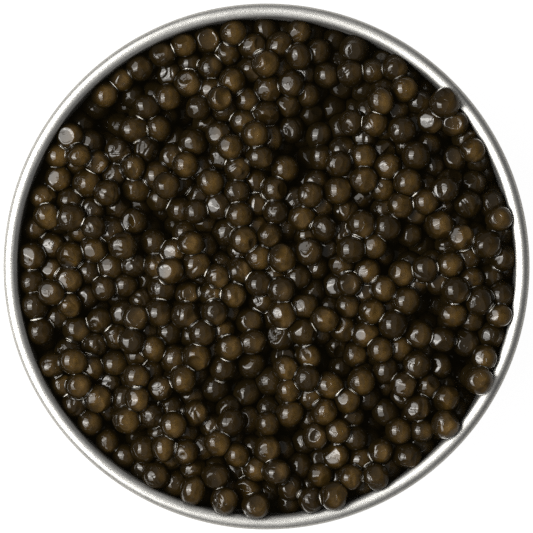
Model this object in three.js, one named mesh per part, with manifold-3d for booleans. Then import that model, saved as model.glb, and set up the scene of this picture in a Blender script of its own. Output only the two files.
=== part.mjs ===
// An open tin of sturgeon roe: a shallow pressed metal tin with a rolled rim, filled to the brim with
// loose round eggs. Millimetres, +Z up, origin at the middle of the foot that the tin stands on.
import * as THREE from "three";
import { mergeVertices } from "three/addons/utils/BufferGeometryUtils.js";
import Module from "manifold-3d";

const wasm = await Module();
wasm.setup();

// Driving dimensions of the tin
const TIN_HEIGHT = 20;
const RIM_RADIUS = 30.5;
const BEAD_DIAMETER = 1.6;
const SHEET = 0.3;
const WALL_TAPER = 0.5;
const CORNER_RADIUS = 2.4;
const PANEL_RADIUS = 24;
const PANEL_RISE = 0.7;
const PANEL_STEP = 0.8;
const CURL_END_DEG = -90;
const ROUND_SEGMENTS = 60;
const CORNER_STEPS = 2;
const HOLLOW_STEPS = 6;
const BEAD_STEPS = 9;

// Driving dimensions of the roe
const EGG_DIAMETER = 2.75;
const EGG_SPREAD = 0.1;
const BRIM_LEVEL = TIN_HEIGHT - 0.6;
const DOME = 0.4;
const LEAN = 0.9;
const LEAN_DEG = -33;
const FILL_DEPTH = 8;
const CORE_DEPTH = 1.1 * EGG_DIAMETER;
const ROOT_DEPTH = 0.2 * EGG_DIAMETER;
const FIT_GAP = 0.1;
const SHOWN_EGGS = 246;

// The few-sided egg, as shares of its radius: out from its axis, and up from its middle
const EGG_SIDES = 5;
const EGG_SHOULDER = { out: 0.87, up: 0.52 };
const EGG_WAIST = { out: 1.08, up: -0.25 };
const EGG_WAIST_OVER_RIM = { out: 0.96, up: -0.2 };
const EGG_HIP_OVER_RIM = { out: 0.5, up: -0.82 };

// How the eggs are dropped and settled
const SEED = 4711;
const RANDOM_FACTOR = 48271;
const RANDOM_MODULUS = 2147483647;
const DROP_TRIES = 10;
const ROLL_TRIES = 20;
const LONGEST_ROLL = 0.5;
const PATIENCE = 40;
const PUSH = 0.5;
const CLING_REACH = 1.3;
const WALL_REACH = 1.1;
const WALL_CLING = 4;
const SETTLING = [
  { rounds: 80, weight: 0.04, cling: 0.05 },
  { rounds: 80, weight: 0.04, cling: 0.05 },
  { rounds: 40, weight: 0.02, cling: 0.1 },
  { rounds: 20, weight: 0, cling: 0 },
];

// The heap's surface rises and falls in crossed waves: their length, direction in radians and start
const WAVE_HEIGHT = 0.2;
const WAVES = [
  { length: 9.3, turn: 0.4, start: 1 },
  { length: 7.1, turn: 2, start: 2.2 },
  { length: 8.2, turn: 1.2, start: 4 },
  { length: 6.1, turn: 2.7, start: 5.1 },
];

// Deep hollows between the clumps of eggs, by the places of their middles
const HOLLOW_DEPTH = 3;
const HOLLOW_WIDTH = 2.2;
const HOLLOWS = [
  { x: -9.5, y: 17.4 },
  { x: 5.6, y: 18.8 },
  { x: 4.7, y: 15.6 },
  { x: 3.9, y: 12.4 },
  { x: -13.1, y: 5.7 },
  { x: 13.1, y: -17.9 },
  { x: -18.2, y: -3.2 },
  { x: 7.4, y: -11 },
  { x: -2.2, y: -13.2 },
  { x: 25.1, y: 8.9 },
  { x: 18.3, y: 2.7 },
  { x: 19, y: -4.4 },
  { x: 7.4, y: 26.2 },
  { x: 9.6, y: 20 },
  { x: 22.7, y: -11.1 },
  { x: -18.3, y: 17.8 },
  { x: 20.8, y: 13.2 },
];

// Eggs that lie on the rim: direction round the tin in degrees, distance from its middle, diameter
const RIM_EGGS = [
  { deg: 42.6, out: 27.95, size: 3.05 },
  { deg: -28.2, out: 27.85, size: 2.95 },
  { deg: -41.4, out: 27.6, size: 2.9 },
  { deg: -73.6, out: 27.65, size: 2.9 },
  { deg: -92.5, out: 27.7, size: 2.8 },
  { deg: -100.1, out: 27.5, size: 2.85 },
];

const beadRadius = BEAD_DIAMETER / 2;
const wallRadius = RIM_RADIUS - BEAD_DIAMETER;
const beadCentre = { r: RIM_RADIUS - beadRadius, z: TIN_HEIGHT - beadRadius };
const floorHeight = PANEL_RISE + SHEET;
const fillFloor = BRIM_LEVEL - FILL_DEPTH;
const radians = THREE.MathUtils.degToRad;

// Points on an arc in the (radius, height) plane, from one angle to another.
function arc(centreR, centreZ, radius, fromDeg, toDeg, steps) {
  return Array.from({ length: steps + 1 }, (_, i) => {
    const angle = radians(fromDeg + ((toDeg - fromDeg) * i) / steps);
    return new THREE.Vector2(centreR + radius * Math.cos(angle), centreZ + radius * Math.sin(angle));
  });
}

// Turns a (radius, height) outline round the Z axis.
function turned(outline, segments = ROUND_SEGMENTS) {
  return new THREE.LatheGeometry(outline, segments).rotateX(Math.PI / 2);
}

// The tin's section, from the middle of its underside out, round the curled rim, and back inside.
function tinOutline() {
  const point = (r, z) => new THREE.Vector2(r, z);
  const cornerR = wallRadius - WALL_TAPER - CORNER_RADIUS;
  const outerCorner = CORNER_RADIUS + SHEET;
  const curlHollow = beadRadius - SHEET;
  return [
    point(0, PANEL_RISE),
    point(PANEL_RADIUS - PANEL_STEP, PANEL_RISE),
    point(PANEL_RADIUS, 0),
    ...arc(cornerR, outerCorner, outerCorner, -90, 0, CORNER_STEPS),
    ...arc(beadCentre.r, beadCentre.z, curlHollow, 180, CURL_END_DEG, HOLLOW_STEPS),
    ...arc(beadCentre.r, beadCentre.z, beadRadius, CURL_END_DEG, 180, BEAD_STEPS),
    ...arc(cornerR, outerCorner, CORNER_RADIUS, 0, -90, CORNER_STEPS),
    point(PANEL_RADIUS + SHEET, SHEET),
    point(PANEL_RADIUS - PANEL_STEP + SHEET, floorHeight),
    point(0, floorHeight),
  ];
}

// Park and Miller's random numbers from 0 to 1, the same on every run.
let randomState = SEED;
function random() {
  randomState = (randomState * RANDOM_FACTOR) % RANDOM_MODULUS;
  return randomState / RANDOM_MODULUS;
}

// The even height of the filling: a low dome that leans to one side of the tin.
function level(x, y) {
  const leanX = Math.cos(radians(LEAN_DEG));
  const leanY = Math.sin(radians(LEAN_DEG));
  const outward = (x * x + y * y) / (wallRadius * wallRadius);
  return BRIM_LEVEL + DOME * (1 - outward) + (LEAN * (x * leanX + y * leanY)) / wallRadius;
}

// The height that the middles of the topmost eggs reach, with the heap's waves and hollows.
function heapTop(x, y) {
  let z = level(x, y);
  for (const { length, turn, start } of WAVES) {
    const along = x * Math.cos(turn) + y * Math.sin(turn);
    z += WAVE_HEIGHT * Math.sin((along * 2 * Math.PI) / length + start);
  }
  for (const hollow of HOLLOWS) {
    const square = (x - hollow.x) * (x - hollow.x) + (y - hollow.y) * (y - hollow.y);
    z -= HOLLOW_DEPTH * Math.exp(-square / (HOLLOW_WIDTH * HOLLOW_WIDTH));
  }
  return z;
}

// How high the middle of an egg lies that touches the rolled rim at this distance from the tin's middle.
function heightOnRim(out, radius) {
  const reach = radius + beadRadius + FIT_GAP;
  const inward = beadCentre.r - out;
  return beadCentre.z + Math.sqrt(reach * reach - inward * inward);
}

// The height at which an egg dropped at x, y comes to lie: on the filling below, on other eggs or on the rim.
function restingHeight(x, y, radius, eggs) {
  let z = fillFloor + radius;
  for (const egg of eggs) {
    const reach = radius + egg.radius;
    const dx = x - egg.x;
    const dy = y - egg.y;
    const rise = reach * reach - dx * dx - dy * dy;
    if (rise > 0) z = Math.max(z, egg.z + Math.sqrt(rise));
  }
  return z;
}

// Drops eggs one by one. Each is tried at several places, rolls on from the lowest of them, and stays
// if it lies below the heap's top. The dropping ends when several eggs in a row find no such place.
function dropEggs(eggs) {
  for (let misses = 0; misses < PATIENCE; ) {
    const radius = (EGG_DIAMETER / 2) * (1 + EGG_SPREAD * (random() + random() - 1));
    const most = wallRadius - radius - FIT_GAP;
    let best = null;
    for (let i = 0; i < DROP_TRIES + ROLL_TRIES; i++) {
      const rolls = best && i >= DROP_TRIES;
      const roll = (LONGEST_ROLL * radius * (DROP_TRIES + ROLL_TRIES - i)) / ROLL_TRIES;
      const across = rolls ? roll : wallRadius;
      const x = (rolls ? best.x : 0) + across * (2 * random() - 1);
      const y = (rolls ? best.y : 0) + across * (2 * random() - 1);
      if (x * x + y * y > most * most) continue;
      const z = restingHeight(x, y, radius, eggs);
      const above = z - heapTop(x, y);
      if (!best || above < best.above) best = { x, y, z, radius, above };
    }
    const stays = best && best.above <= 0;
    if (stays) eggs.push(best);
    misses = stays ? 0 : misses + 1;
  }
}

// Keeps an egg inside the wall, or off the rolled rim where it lies above it. Near the wall it clings to it.
function keepInside(egg, cling) {
  const out = Math.sqrt(egg.x * egg.x + egg.y * egg.y);
  const reach = egg.radius + beadRadius + FIT_GAP;
  const up = egg.z - beadCentre.z;
  const overRim = beadCentre.r - Math.sqrt(Math.max(reach * reach - up * up, 0));
  const most = up > 0 ? overRim : wallRadius - egg.radius - FIT_GAP;
  const gap = most - out;
  const move = gap < 0 ? gap : gap < WALL_REACH ? gap * cling * WALL_CLING : 0;
  const share = (out + move) / out;
  egg.x *= share;
  egg.y *= share;
}

// Lets the eggs settle: they sink, cling to near neighbours and push apart where they overlap.
function settleEggs(eggs, { rounds, weight, cling }) {
  for (let round = 0; round < rounds; round++) {
    const moves = eggs.map(() => ({ x: 0, y: 0, z: -weight }));
    for (let i = 0; i < eggs.length; i++) {
      for (let j = i + 1; j < eggs.length; j++) {
        const dx = eggs[i].x - eggs[j].x;
        const dy = eggs[i].y - eggs[j].y;
        const dz = eggs[i].z - eggs[j].z;
        const reach = eggs[i].radius + eggs[j].radius;
        const square = dx * dx + dy * dy + dz * dz;
        if (square > reach * reach * CLING_REACH * CLING_REACH) continue;
        const distance = Math.sqrt(square);
        const gap = distance - reach;
        const push = (-gap * (gap < 0 ? PUSH : cling)) / distance;
        moves[i].x += dx * push;
        moves[i].y += dy * push;
        moves[i].z += dz * push;
        moves[j].x -= dx * push;
        moves[j].y -= dy * push;
        moves[j].z -= dz * push;
      }
    }
    for (const [i, egg] of eggs.entries()) {
      if (egg.onRim) continue;
      egg.x += moves[i].x;
      egg.y += moves[i].y;
      egg.z = Math.max(egg.z + moves[i].z, fillFloor + egg.radius);
      keepInside(egg, cling);
    }
  }
}

// Fills the tin: the eggs on the rim stay where they are, and the others are dropped and settled in turns.
function filledEggs() {
  const eggs = RIM_EGGS.map(({ deg, out, size }) => ({
    x: out * Math.cos(radians(deg)),
    y: out * Math.sin(radians(deg)),
    z: heightOnRim(out, size / 2),
    radius: size / 2,
    onRim: true,
  }));
  for (const [i, stage] of SETTLING.entries()) {
    if (i < SETTLING.length - 1) dropEggs(eggs);
    settleEggs(eggs, stage);
  }
  return eggs;
}

// The eggs that can be seen from above, those that show most first.
function shownEggs(eggs) {
  const cell = EGG_DIAMETER / 8;
  const cells = Math.ceil(wallRadius / cell);
  for (const egg of eggs) egg.seen = 0;
  for (let i = -cells; i <= cells; i++) {
    for (let j = -cells; j <= cells; j++) {
      let top = -Infinity;
      let topEgg = null;
      for (const egg of eggs) {
        const rise = egg.radius ** 2 - (i * cell - egg.x) ** 2 - (j * cell - egg.y) ** 2;
        if (rise > 0 && egg.z + Math.sqrt(rise) > top) {
          top = egg.z + Math.sqrt(rise);
          topEgg = egg;
        }
      }
      if (topEgg) topEgg.seen += 1;
    }
  }
  return eggs.filter((egg) => egg.seen > 0).sort((a, b) => b.seen - a.seen).slice(0, SHOWN_EGGS);
}

// A three.js geometry as a manifold-3d solid.
function solidOf(geometry) {
  const bare = geometry.index ? geometry.toNonIndexed() : geometry.clone();
  for (const name of Object.keys(bare.attributes)) if (name !== "position") bare.deleteAttribute(name);
  const merged = mergeVertices(bare, 1e-4);
  const triVerts = new Uint32Array(merged.index.array);
  return new wasm.Manifold(
    new wasm.Mesh({ numProp: 3, vertProperties: merged.attributes.position.array, triVerts }),
  );
}

// A manifold-3d solid as a three.js geometry.
function geometryOf(solid) {
  const mesh = solid.getMesh();
  const position = new Float32Array(mesh.numVert * 3);
  for (let i = 0; i < mesh.numVert; i++) {
    position.set(mesh.vertProperties.subarray(i * mesh.numProp, i * mesh.numProp + 3), i * 3);
  }
  const geometry = new THREE.BufferGeometry();
  geometry.setAttribute("position", new THREE.BufferAttribute(position, 3));
  geometry.setIndex(new THREE.BufferAttribute(mesh.triVerts, 1));
  geometry.computeVertexNormals();
  return geometry;
}

// The packed filling below the eggs that show, fitted to the inside of the tin. Its top follows the level.
function coreGeometry() {
  const point = (r, z) => new THREE.Vector2(r, z);
  const cornerR = wallRadius - WALL_TAPER - CORNER_RADIUS;
  const outerCorner = CORNER_RADIUS + SHEET;
  const lowest = BRIM_LEVEL - LEAN - CORE_DEPTH;
  const share = (lowest - outerCorner) / (beadCentre.z - outerCorner);
  const topRadius = wallRadius - WALL_TAPER * (1 - share) - FIT_GAP;
  const core = turned([
    point(0, floorHeight + FIT_GAP),
    point(PANEL_RADIUS - PANEL_STEP + SHEET, floorHeight + FIT_GAP),
    point(PANEL_RADIUS + SHEET, SHEET + FIT_GAP),
    ...arc(cornerR, outerCorner, CORNER_RADIUS - FIT_GAP, -90, 0, CORNER_STEPS),
    point(topRadius, lowest),
    point(0, lowest),
  ]);
  const places = core.attributes.position;
  for (let i = 0; i < places.count; i++) {
    if (places.getZ(i) > lowest - FIT_GAP) {
      places.setZ(i, level(places.getX(i), places.getY(i)) - CORE_DEPTH);
    }
  }
  return core;
}

// One egg with few sides, drawn down to a root that joins it to the filling. An egg over the rim has a
// round underside, which clears the metal.
function eggGeometry(egg, turn) {
  const point = ({ out, up }) => new THREE.Vector2(out * egg.radius, up * egg.radius);
  const root = (level(egg.x, egg.y) - CORE_DEPTH - ROOT_DEPTH - egg.z) / egg.radius;
  const overRim = Math.hypot(egg.x, egg.y) + egg.radius > wallRadius - 2 * FIT_GAP;
  const underside = overRim ? [EGG_HIP_OVER_RIM, EGG_WAIST_OVER_RIM] : [EGG_WAIST];
  const outline = [{ out: 0, up: Math.min(root, -1) }, ...underside, EGG_SHOULDER, { out: 0, up: 1 }];
  return turned(outline.map(point), EGG_SIDES).rotateZ(turn).translate(egg.x, egg.y, egg.z);
}

// The whole heap as one solid: the filling with every egg that shows fused to it.
function roeGeometry() {
  const eggs = shownEggs(filledEggs());
  const solids = eggs.map((egg, i) => solidOf(eggGeometry(egg, i)));
  return geometryOf(wasm.Manifold.union([solidOf(coreGeometry()), ...solids]));
}

const tin = new THREE.Mesh(
  turned(tinOutline()),
  new THREE.MeshStandardMaterial({ color: 0xc4c4c2, roughness: 0.32, metalness: 1 }),
);
tin.name = "tin";

const roe = new THREE.Mesh(
  roeGeometry(),
  new THREE.MeshStandardMaterial({ color: 0x3a2d19, roughness: 0.18, metalness: 0 }),
);
roe.name = "roe";

const filledTin = new THREE.Group();
filledTin.add(tin, roe);
export default filledTin;
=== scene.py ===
"""The looks of an open tin of sturgeon roe: a spun metal tin, filled with loose glossy eggs."""
import functools
import math

import bmesh
import bpy
import numpy as np
from mathutils import Matrix, Vector


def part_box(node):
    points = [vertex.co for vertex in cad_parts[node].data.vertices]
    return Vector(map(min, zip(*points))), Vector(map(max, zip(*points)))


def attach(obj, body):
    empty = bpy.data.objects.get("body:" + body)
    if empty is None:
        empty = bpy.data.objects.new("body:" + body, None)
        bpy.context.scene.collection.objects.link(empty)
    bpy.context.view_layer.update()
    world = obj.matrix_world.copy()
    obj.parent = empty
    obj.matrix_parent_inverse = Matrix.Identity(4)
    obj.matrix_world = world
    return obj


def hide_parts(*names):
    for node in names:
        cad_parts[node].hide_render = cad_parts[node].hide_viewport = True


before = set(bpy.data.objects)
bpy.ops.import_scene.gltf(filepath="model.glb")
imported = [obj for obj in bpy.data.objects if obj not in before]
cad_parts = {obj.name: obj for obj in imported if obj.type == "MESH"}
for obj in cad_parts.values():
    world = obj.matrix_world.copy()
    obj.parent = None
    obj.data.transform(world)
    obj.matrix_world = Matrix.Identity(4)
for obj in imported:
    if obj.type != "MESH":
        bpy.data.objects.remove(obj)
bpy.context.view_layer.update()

bl_info = {
    "name": "Tin of sturgeon roe",
    "version": (1, 0, 0),
    "blender": (4, 5, 0),
    "location": "3D View > Sidebar > Roe",
    "description": "Models a spun metal tin filled with loose sturgeon eggs",
    "category": "Add Mesh",
}

MM = 0.001

# The tin, in millimetres, from the frame where it gives the size
TIN_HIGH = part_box("tin")[1]
RIM_RADIUS = round(TIN_HIGH.x / MM, 2)
TIN_HEIGHT = round(TIN_HIGH.z / MM, 2)
BEAD_RADIUS = 0.8
WALL_RADIUS = RIM_RADIUS - 2 * BEAD_RADIUS
BEAD_R = RIM_RADIUS - BEAD_RADIUS
BEAD_Z = TIN_HEIGHT - BEAD_RADIUS

# Its sheet, how much the wall narrows towards the base, the round corner and the raised base panel
SHEET = 0.3
WALL_TAPER = 0.5
CORNER_RADIUS = 2.4
CORNER_R = WALL_RADIUS - WALL_TAPER - CORNER_RADIUS
CORNER_Z = CORNER_RADIUS + SHEET
PANEL_RADIUS = 24.0
PANEL_RISE = 0.7
PANEL_STEP = 0.8

# The inner side of the rolled rim is fuller than round and ends in a lip over the wall
LIP_FULLNESS = 1.2
LIP_ANGLE = math.acos(1 / LIP_FULLNESS)
LIP_Z = BEAD_Z + BEAD_RADIUS * math.sin(LIP_ANGLE)

# The roe, in millimetres
EGG_DIAMETER = 2.75
EGG_SPREAD = 0.1
BRIM_LEVEL = TIN_HEIGHT - 0.6
DOME = 0.4
LEAN = 0.9
LEAN_DEG = -33
FILL_DEPTH = 8
FILL_FLOOR = BRIM_LEVEL - FILL_DEPTH
FIT_GAP = 0.1

# The core of brine: its gap to the tin, how far it reaches up the lowest eggs, and its edge at the wall
BRINE_GAP = 0.06
CORE_SHARE = 0.45
CORE_EDGE = [(0, 0.4), (0.3, 0.12), (0.9, 0)]
BRINE_IOR, NECK_IOR = 1.34, 1.5

# How the eggs are dropped and settled, as in the part's own source
SEED = 4711
RANDOM_FACTOR = 48271
RANDOM_MODULUS = 2147483647
DROP_TRIES = 10
ROLL_TRIES = 20
LONGEST_ROLL = 0.5
PATIENCE = 40
PUSH = 0.5
CLING_REACH = 1.3
WALL_REACH = 1.1
WALL_CLING = 4
SETTLING = [(80, 0.04, 0.05), (80, 0.04, 0.05), (40, 0.02, 0.1), (20, 0.0, 0.0)]

# The heap's surface rises and falls in crossed waves: their length, direction in radians and start
WAVE_HEIGHT = 0.2
WAVES = [(9.3, 0.4, 1), (7.1, 2, 2.2), (8.2, 1.2, 4), (6.1, 2.7, 5.1)]

# Deep hollows between the clumps of eggs, by the places of their middles
HOLLOW_DEPTH = 3
HOLLOW_WIDTH = 2.2
HOLLOWS = [
    (-9.5, 17.4), (5.6, 18.8), (4.7, 15.6), (3.9, 12.4), (-13.1, 5.7), (13.1, -17.9),
    (-18.2, -3.2), (7.4, -11), (-2.2, -13.2), (25.1, 8.9), (18.3, 2.7), (19, -4.4),
    (7.4, 26.2), (9.6, 20), (22.7, -11.1), (-18.3, 17.8), (20.8, 13.2),
]

# Eggs that lie on the rim: direction round the tin in degrees, distance from its middle, diameter
RIM_EGGS = [
    (42.6, 27.95, 3.05),
    (-28.2, 27.85, 2.95),
    (-41.4, 27.6, 2.9),
    (-73.6, 27.65, 2.9),
    (-92.5, 27.7, 2.8),
    (-100.1, 27.5, 2.85),
]


class Dice:
    """Park and Miller's random numbers from 0 to 1, the same on every run."""

    def __init__(self, seed):
        self.state = seed

    def roll(self):
        self.state = self.state * RANDOM_FACTOR % RANDOM_MODULUS
        return self.state / RANDOM_MODULUS


def level(x, y):
    """The even height of the filling: a low dome that leans to one side."""
    lean_x, lean_y = math.cos(math.radians(LEAN_DEG)), math.sin(math.radians(LEAN_DEG))
    outward = (x * x + y * y) / (WALL_RADIUS * WALL_RADIUS)
    return BRIM_LEVEL + DOME * (1 - outward) + (LEAN * (x * lean_x + y * lean_y)) / WALL_RADIUS


def heap_top(x, y):
    """The height that the middles of the topmost eggs reach, with the heap's waves and hollows."""
    z = level(x, y)
    for length, turn, start in WAVES:
        along = x * math.cos(turn) + y * math.sin(turn)
        z += WAVE_HEIGHT * math.sin((along * 2 * math.pi) / length + start)
    for hollow_x, hollow_y in HOLLOWS:
        square = (x - hollow_x) * (x - hollow_x) + (y - hollow_y) * (y - hollow_y)
        z -= HOLLOW_DEPTH * math.exp(-square / (HOLLOW_WIDTH * HOLLOW_WIDTH))
    return z


def height_on_rim(out, radius):
    """How high the middle of an egg lies that touches the rolled rim this far out."""
    reach = radius + BEAD_RADIUS + FIT_GAP
    inward = BEAD_R - out
    return BEAD_Z + math.sqrt(reach * reach - inward * inward)


def resting_height(x, y, radius, eggs):
    """The height at which an egg dropped at x, y comes to lie."""
    reach = radius + eggs[:, 3]
    dx = x - eggs[:, 0]
    dy = y - eggs[:, 1]
    rise = reach * reach - dx * dx - dy * dy
    under = rise > 0
    heights = eggs[under, 2] + np.sqrt(rise[under])
    return max(FILL_FLOOR + radius, float(heights.max())) if under.any() else FILL_FLOOR + radius


def drop_eggs(eggs, dice):
    """Drops eggs one by one; each stays where it lies lowest, until several in a row find no place."""
    misses = 0
    while misses < PATIENCE:
        radius = (EGG_DIAMETER / 2) * (1 + EGG_SPREAD * (dice.roll() + dice.roll() - 1))
        most = WALL_RADIUS - radius - FIT_GAP
        best, lowest = None, 0
        for i in range(DROP_TRIES + ROLL_TRIES):
            rolls = best is not None and i >= DROP_TRIES
            roll = (LONGEST_ROLL * radius * (DROP_TRIES + ROLL_TRIES - i)) / ROLL_TRIES
            across = roll if rolls else WALL_RADIUS
            x = (best[0] if rolls else 0) + across * (2 * dice.roll() - 1)
            y = (best[1] if rolls else 0) + across * (2 * dice.roll() - 1)
            if x * x + y * y > most * most:
                continue
            z = resting_height(x, y, radius, eggs)
            above = z - heap_top(x, y)
            if best is None or above < lowest:
                best, lowest = (x, y, z, radius), above
        stays = best is not None and lowest <= 0
        if stays:
            eggs = np.vstack([eggs, best])
        misses = 0 if stays else misses + 1
    return eggs


def settle_eggs(eggs, rounds, weight, cling):
    """Lets the eggs sink, cling to near neighbours and the wall, and push apart where they overlap."""
    radius = eggs[:, 3]
    first, second = np.triu_indices(len(eggs), 1)
    reach = radius[first] + radius[second]
    limit = reach * reach * CLING_REACH * CLING_REACH
    rim_reach = radius + BEAD_RADIUS + FIT_GAP
    for _ in range(rounds):
        apart = eggs[first, :3] - eggs[second, :3]
        square = apart[:, 0] * apart[:, 0] + apart[:, 1] * apart[:, 1] + apart[:, 2] * apart[:, 2]
        near = square <= limit
        distance = np.sqrt(square[near])
        gap = distance - reach[near]
        push = apart[near] * ((-gap * np.where(gap < 0, PUSH, cling)) / distance)[:, None]
        moves = np.zeros((len(eggs), 3))
        moves[:, 2] = -weight
        np.subtract.at(moves, second[near], push)
        np.add.at(moves, first[near], push)
        moved = eggs[:, :3] + moves
        moved[:, 2] = np.maximum(moved[:, 2], FILL_FLOOR + radius)
        out = np.sqrt(moved[:, 0] * moved[:, 0] + moved[:, 1] * moved[:, 1])
        up = moved[:, 2] - BEAD_Z
        over_rim = BEAD_R - np.sqrt(np.maximum(rim_reach * rim_reach - up * up, 0))
        most = np.where(up > 0, over_rim, WALL_RADIUS - radius - FIT_GAP)
        gap = most - out
        move = np.where(gap < 0, gap, np.where(gap < WALL_REACH, gap * cling * WALL_CLING, 0))
        moved[:, :2] *= ((out + move) / out)[:, None]
        eggs[len(RIM_EGGS):, :3] = moved[len(RIM_EGGS):]
    return eggs


@functools.lru_cache
def filled_eggs():
    """Every egg in the tin as rows of x, y, z, radius in millimetres, those on the rim first."""
    dice = Dice(SEED)
    rows = []
    for deg, out, size in RIM_EGGS:
        angle = math.radians(deg)
        rows.append((out * math.cos(angle), out * math.sin(angle), height_on_rim(out, size / 2), size / 2))
    eggs = np.array(rows)
    for i, stage in enumerate(SETTLING):
        if i < len(SETTLING) - 1:
            eggs = drop_eggs(eggs, dice)
        eggs = settle_eggs(eggs, *stage)
    return eggs


def rng_for(*key):
    """Seeded random numbers for one egg or neck, which don't depend on any other's."""
    return np.random.default_rng([SEED, *key])


@functools.lru_cache
def shown_share():
    """The share of each egg that is seen from above, from 0 to 1."""
    eggs = filled_eggs()
    cell = EGG_DIAMETER / 24
    half = math.ceil(RIM_RADIUS / cell)
    top = np.full((2 * half + 1, 2 * half + 1), -1.0)
    owner = np.full(top.shape, -1)
    for index, (x, y, z, radius) in enumerate(eggs):
        low = np.floor((np.array([x, y]) - radius) / cell).astype(int) + half
        high = np.ceil((np.array([x, y]) + radius) / cell).astype(int) + half + 1
        gx = (np.arange(low[0], high[0]) - half) * cell - x
        gy = (np.arange(low[1], high[1]) - half) * cell - y
        rise = radius * radius - gx[:, None] ** 2 - gy[None, :] ** 2
        height = z + np.sqrt(np.maximum(rise, 0))
        window = (slice(low[0], high[0]), slice(low[1], high[1]))
        wins = (rise > 0) & (height > top[window])
        top[window] = np.where(wins, height, top[window])
        owner[window] = np.where(wins, index, owner[window])
    counts = np.bincount(owner[owner >= 0], minlength=len(eggs))
    return counts * cell * cell / (math.pi * eggs[:, 3] ** 2)


@functools.lru_cache
def touching_eggs(slack):
    """For each egg, the eggs that lie less than slack millimetres from it."""
    eggs = filled_eggs()
    apart = eggs[:, None, :3] - eggs[None, :, :3]
    gap = np.sqrt((apart ** 2).sum(2)) - eggs[:, None, 3] - eggs[None, :, 3]
    np.fill_diagonal(gap, np.inf)
    return [np.flatnonzero(row < slack) for row in gap]


def clear_selection():
    """Leaves edit mode and deselects everything, because operators act on all that is selected."""
    if bpy.context.object and bpy.context.object.mode != "OBJECT":
        bpy.ops.object.mode_set(mode="OBJECT")
    bpy.ops.object.select_all(action="DESELECT")


def spun_piece(name, outline, steps):
    """A closed round piece: an outline in millimetres from axis to axis, drawn and spun round Z."""
    clear_selection()
    bpy.ops.mesh.primitive_plane_add(size=MM, location=(outline[0][0] * MM, 0, outline[0][1] * MM))
    piece = bpy.context.object
    piece.name = piece.data.name = name
    bpy.ops.object.transform_apply(location=True, rotation=False, scale=False)
    bpy.ops.object.mode_set(mode="EDIT")
    bpy.ops.mesh.select_all(action="SELECT")
    bpy.ops.mesh.merge(type="CENTER")
    for (r0, z0), (r1, z1) in zip(outline, outline[1:]):
        step = ((r1 - r0) * MM, 0, (z1 - z0) * MM)
        bpy.ops.mesh.extrude_vertices_move(TRANSFORM_OT_translate={"value": step})
    bpy.ops.mesh.select_all(action="SELECT")
    bpy.ops.mesh.spin(steps=steps, angle=2 * math.pi, center=(0, 0, 0), axis=(0, 0, 1))
    bpy.ops.mesh.select_all(action="SELECT")
    bpy.ops.mesh.remove_doubles(threshold=0.001 * MM)
    bpy.ops.mesh.normals_make_consistent(inside=False)
    bpy.ops.object.mode_set(mode="OBJECT")
    return piece


def arc(centre, radius, start, end, steps):
    """Points of a round stretch of an outline, by its centre, radius and angles in degrees."""
    angles = np.radians(np.linspace(start, end, steps + 1))
    return [(centre[0] + radius * math.cos(a), centre[1] + radius * math.sin(a)) for a in angles]


def joined_mesh(name, parts, attributes=()):
    """One smooth mesh object from many parts, each its points, triangles and values for attributes."""
    points = np.concatenate([part[0] for part in parts]) * MM
    starts = np.cumsum([0] + [len(part[0]) for part in parts[:-1]])
    faces = np.concatenate([part[1] + start for part, start in zip(parts, starts)])
    mesh = bpy.data.meshes.new(name)
    mesh.vertices.add(len(points))
    mesh.vertices.foreach_set("co", points.ravel())
    mesh.loops.add(faces.size)
    mesh.loops.foreach_set("vertex_index", faces.ravel())
    mesh.polygons.add(len(faces))
    mesh.polygons.foreach_set("loop_start", np.arange(0, faces.size, 3))
    mesh.update(calc_edges=True)
    for column, attribute in enumerate(attributes):
        values = np.concatenate([part[2][:, column] for part in parts])
        mesh.attributes.new(attribute, "FLOAT", "POINT").data.foreach_set("value", values)
    mesh.shade_smooth()
    piece = bpy.data.objects.new(name, mesh)
    bpy.context.scene.collection.objects.link(piece)
    return piece


def mesh_arrays(mesh):
    """A mesh's points and triangles as arrays."""
    points = np.empty(len(mesh.vertices) * 3)
    mesh.vertices.foreach_get("co", points)
    mesh.calc_loop_triangles()
    faces = np.empty(len(mesh.loop_triangles) * 3, dtype=np.int64)
    mesh.loop_triangles.foreach_get("vertices", faces)
    return points.reshape(-1, 3), faces.reshape(-1, 3)


@functools.lru_cache
def egg_form(cuts):
    """One round egg of radius 1, its upper half cut finer, as points and triangles."""
    clear_selection()
    bpy.ops.mesh.primitive_ico_sphere_add(subdivisions=3, radius=1)
    egg = bpy.context.object
    if cuts:
        bpy.ops.object.mode_set(mode="EDIT")
        bpy.ops.mesh.select_mode(type="FACE")
        bpy.ops.mesh.select_all(action="DESELECT")
        form = bmesh.from_edit_mesh(egg.data)
        for face in form.faces:
            face.select_set(face.calc_center_median().z > FINE_FROM)
        bmesh.update_edit_mesh(egg.data)
        bpy.ops.mesh.subdivide(number_cuts=cuts)
        bpy.ops.mesh.select_all(action="SELECT")
        bpy.ops.mesh.quads_convert_to_tris()
        bpy.ops.object.mode_set(mode="OBJECT")
    points, faces = mesh_arrays(egg.data)
    bpy.data.objects.remove(egg)
    return points / np.linalg.norm(points, axis=1)[:, None], faces


def smooth_step(low, high, value):
    """0 below low, 1 above high, and an even S curve between."""
    share = np.clip((value - low) / (high - low), 0, 1)
    return share * share * (3 - 2 * share)


def pressed_flat(points, normal, height, blend, left=0.0):
    """Points beyond a plane are pressed onto it, with an edge as round as blend; a share may be left."""
    over = points @ normal - height
    return points - np.outer((1 - left) * blend * np.logaddexp(0, over / blend), normal)


def tilted(tilt, turn):
    """The direction tilted from straight up by tilt, towards turn, both in degrees."""
    tilt, turn = math.radians(tilt), math.radians(turn)
    return np.array([math.sin(tilt) * math.cos(turn), math.sin(tilt) * math.sin(turn), math.cos(tilt)])


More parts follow.
